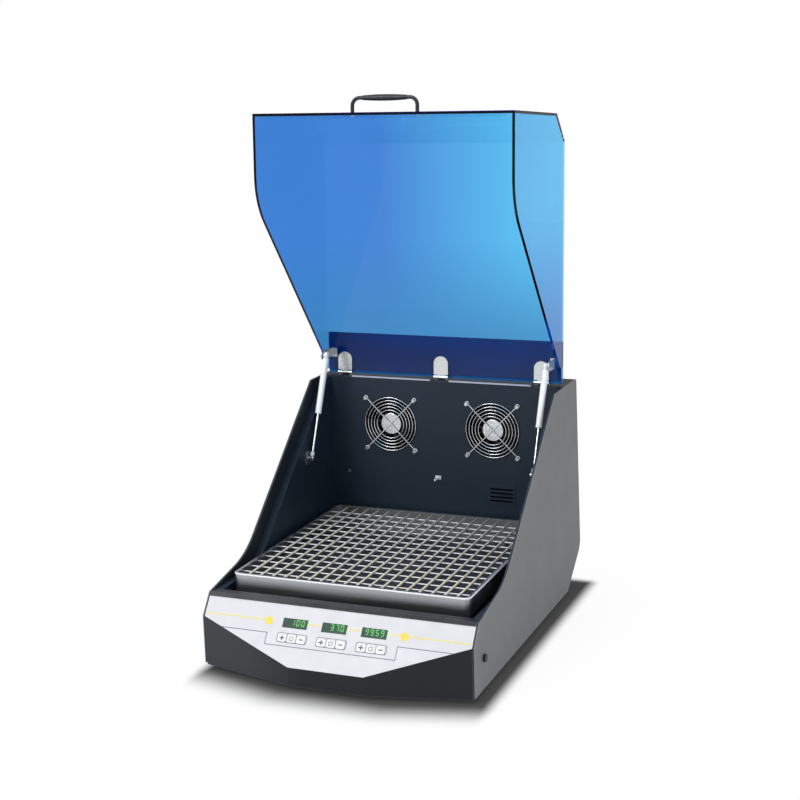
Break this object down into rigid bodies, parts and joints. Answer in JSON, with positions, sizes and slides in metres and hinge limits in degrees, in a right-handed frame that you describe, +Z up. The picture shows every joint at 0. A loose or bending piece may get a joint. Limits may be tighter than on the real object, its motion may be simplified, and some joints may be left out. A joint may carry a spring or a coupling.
{
  "type": "shaking incubator",
  "caption": "Benchtop shaking incubator: a wedge-shaped cabinet with a sloping control panel, an orbiting wire-topped tray, fans behind it and a clear blue hood on gas springs.",
  "frame": {"origin": "on the table, under the middle of the cabinet from side to side and from front to back", "axes": "+X to the right seen from the front, +Y towards the back, +Z up"},
  "size_m": [0.52, 0.6934, 1.0023],
  "materials": {
    "cabinet_grey": "satin grey powder coat",
    "front_dark": "satin dark grey powder coat",
    "liner_navy": "satin navy powder coat",
    "label_white": "matt printed film",
    "display_window": "clear dark window",
    "key_white": "smooth",
    "board_green": "circuit board",
    "bare_steel": "brushed",
    "machined_aluminium": "machined",
    "belt_rubber": "matt",
    "foot_rubber": "matt",
    "black_plastic": "satin",
    "chrome_wire": "bright",
    "tray_steel": "satin",
    "wire_cream": "coated spring wire",
    "hood_blue": "clear tinted acrylic",
    "spring_grey": "satin light grey"
  },
  "bodies": {
    "cabinet": {"left_side_cheek": "cabinet_grey", "right_side_cheek": "cabinet_grey", "left_inner_wall": "liner_navy", "right_inner_wall": "liner_navy", "base_pan": "cabinet_grey", "front_cover": "front_dark", "rear_cover": "cabinet_grey", "back_wall": "liner_navy", "chamber_floor": "liner_navy", "label_panel": "label_white", "display_windows": "display_window", "control_board": "board_green", "power_supply": "bare_steel", "rubber_feet": "foot_rubber", "fan_frames": "black_plastic", "fan_guards": "chrome_wire", "cabinet_screws": "bare_steel", "temperature_probe": "bare_steel", "heater_element": "bare_steel", "drive_motor": "bare_steel", "drive_belt": "belt_rubber", "spindle_housing": "machined_aluminium", "spindle_bearings": "bare_steel", "crank_blocks": "machined_aluminium", "lower_spring_brackets": "bare_steel", "fixed_hinge_leaves": "chrome_wire", "mains_inlet": "black_plastic"},
    "hood": {"hood_shell": "hood_blue", "hinge_rail": "black_plastic", "hood_handle": "black_plastic", "handle_screws": "bare_steel", "hood_hinge_leaves": "chrome_wire", "upper_spring_brackets": "bare_steel"},
    "left_rod": {"left_spring_rod": "chrome_wire"},
    "left_barrel": {"left_spring_barrel": "spring_grey"},
    "right_rod": {"right_spring_rod": "chrome_wire"},
    "right_barrel": {"right_spring_barrel": "spring_grey"},
    "spindle": {"drive_spindle": "bare_steel"},
    "platform": {"platform_plate": "machined_aluminium", "platform_bearings": "bare_steel", "shaker_tray": "tray_steel", "tray_screws": "bare_steel", "spring_wires": "wire_cream", "cross_wires": "tray_steel"},
    "crank_left": {"left_crank": "bare_steel"},
    "crank_right": {"right_crank": "bare_steel"},
    "crank_front": {"front_crank": "bare_steel"},
    "motor_rotor": {"motor_pulley": "machined_aluminium"},
    "fan_left": {"left_fan_rotor": "black_plastic"},
    "fan_right": {"right_fan_rotor": "black_plastic"},
    "button": {"side_button": "black_plastic"},
    "key_left_plus": {"left_plus_key": "key_white"},
    "key_left_set": {"left_set_key": "key_white"},
    "key_left_minus": {"left_minus_key": "key_white"},
    "key_middle_plus": {"middle_plus_key": "key_white"},
    "key_middle_set": {"middle_set_key": "key_white"},
    "key_middle_minus": {"middle_minus_key": "key_white"},
    "key_right_plus": {"right_plus_key": "key_white"},
    "key_right_set": {"right_set_key": "key_white"},
    "key_right_minus": {"right_minus_key": "key_white"}
  },
  "joints": [
    {"name": "hood_hinge", "type": "hinge", "parent": "cabinet", "child": "hood", "pos_m": [0, 0.2445, 0.439], "axis": [1, 0, 0], "range_deg": [0, 92.5]},
    {"name": "left_spring_pivot", "type": "hinge", "parent": "cabinet", "child": "left_rod", "pos_m": [-0.231, 0.1145, 0.288], "axis": [1, 0, 0], "range_deg": [-16.2, 0]},
    {"name": "left_spring_stroke", "type": "slide", "parent": "left_rod", "child": "left_barrel", "axis": [0, 0.411, 0.9117], "range_m": [-0.0735, 0]},
    {"name": "right_spring_pivot", "type": "hinge", "parent": "cabinet", "child": "right_rod", "pos_m": [0.231, 0.1145, 0.288], "axis": [1, 0, 0], "range_deg": [-16.2, 0]},
    {"name": "right_spring_stroke", "type": "slide", "parent": "right_rod", "child": "right_barrel", "axis": [0, 0.411, 0.9117], "range_m": [-0.0735, 0]},
    {"name": "spindle_spin", "type": "hinge", "parent": "cabinet", "child": "spindle", "pos_m": [0, -0.0205, 0.05], "axis": [0, 0, 1], "continuous": true},
    {"name": "platform_orbit", "type": "hinge", "parent": "spindle", "child": "platform", "pos_m": [0, -0.0125, 0.12], "axis": [0, 0, 1], "continuous": true},
    {"name": "left_crank_spin", "type": "hinge", "parent": "cabinet", "child": "crank_left", "pos_m": [-0.15, 0.0945, 0.09], "axis": [0, 0, 1], "continuous": true},
    {"name": "right_crank_spin", "type": "hinge", "parent": "cabinet", "child": "crank_right", "pos_m": [0.15, 0.0945, 0.09], "axis": [0, 0, 1], "continuous": true},
    {"name": "front_crank_spin", "type": "hinge", "parent": "cabinet", "child": "crank_front", "pos_m": [0, -0.1705, 0.09], "axis": [0, 0, 1], "continuous": true},
    {"name": "motor_spin", "type": "hinge", "parent": "cabinet", "child": "motor_rotor", "pos_m": [0.15, -0.0205, 0.06], "axis": [0, 0, 1], "continuous": true},
    {"name": "left_fan_spin", "type": "hinge", "parent": "cabinet", "child": "fan_left", "pos_m": [-0.109, 0.244, 0.337], "axis": [0, 1, 0], "continuous": true},
    {"name": "right_fan_spin", "type": "hinge", "parent": "cabinet", "child": "fan_right", "pos_m": [0.109, 0.244, 0.337], "axis": [0, 1, 0], "continuous": true},
    {"name": "side_button_press", "type": "slide", "parent": "cabinet", "child": "button", "axis": [-1, 0, 0], "range_m": [0, 0.003], "stiffness_N_per_m": 400, "springref_m": -0.001},
    {"name": "left_plus_press", "type": "slide", "parent": "cabinet", "child": "key_left_plus", "axis": [0, 0.8039, -0.5947], "range_m": [0, 0.0008], "stiffness_N_per_m": 500, "springref_m": -0.0005},
    {"name": "left_set_press", "type": "slide", "parent": "cabinet", "child": "key_left_set", "axis": [0, 0.8039, -0.5947], "range_m": [0, 0.0008], "stiffness_N_per_m": 500, "springref_m": -0.0005},
    {"name": "left_minus_press", "type": "slide", "parent": "cabinet", "child": "key_left_minus", "axis": [0, 0.8039, -0.5947], "range_m": [0, 0.0008], "stiffness_N_per_m": 500, "springref_m": -0.0005},
    {"name": "middle_plus_press", "type": "slide", "parent": "cabinet", "child": "key_middle_plus", "axis": [0, 0.8039, -0.5947], "range_m": [0, 0.0008], "stiffness_N_per_m": 500, "springref_m": -0.0005},
    {"name": "middle_set_press", "type": "slide", "parent": "cabinet", "child": "key_middle_set", "axis": [0, 0.8039, -0.5947], "range_m": [0, 0.0008], "stiffness_N_per_m": 500, "springref_m": -0.0005},
    {"name": "middle_minus_press", "type": "slide", "parent": "cabinet", "child": "key_middle_minus", "axis": [0, 0.8039, -0.5947], "range_m": [0, 0.0008], "stiffness_N_per_m": 500, "springref_m": -0.0005},
    {"name": "right_plus_press", "type": "slide", "parent": "cabinet", "child": "key_right_plus", "axis": [0, 0.8039, -0.5947], "range_m": [0, 0.0008], "stiffness_N_per_m": 500, "springref_m": -0.0005},
    {"name": "right_set_press", "type": "slide", "parent": "cabinet", "child": "key_right_set", "axis": [0, 0.8039, -0.5947], "range_m": [0, 0.0008], "stiffness_N_per_m": 500, "springref_m": -0.0005},
    {"name": "right_minus_press", "type": "slide", "parent": "cabinet", "child": "key_right_minus", "axis": [0, 0.8039, -0.5947], "range_m": [0, 0.0008], "stiffness_N_per_m": 500, "springref_m": -0.0005}
  ],
  "couplings": [
    {"joint": "left_spring_pivot", "follows": "hood_hinge", "ratio": -0.17282},
    {"joint": "right_spring_pivot", "follows": "hood_hinge", "ratio": -0.17282},
    {"joint": "left_spring_stroke", "follows": "hood_hinge", "m_per_rad": -0.044932},
    {"joint": "right_spring_stroke", "follows": "hood_hinge", "m_per_rad": -0.044932},
    {"joint": "platform_orbit", "follows": "spindle_spin", "ratio": -1},
    {"joint": "left_crank_spin", "follows": "spindle_spin", "ratio": 1},
    {"joint": "right_crank_spin", "follows": "spindle_spin", "ratio": 1},
    {"joint": "front_crank_spin", "follows": "spindle_spin", "ratio": 1},
    {"joint": "motor_spin", "follows": "spindle_spin", "ratio": 4.8333}
  ]
}
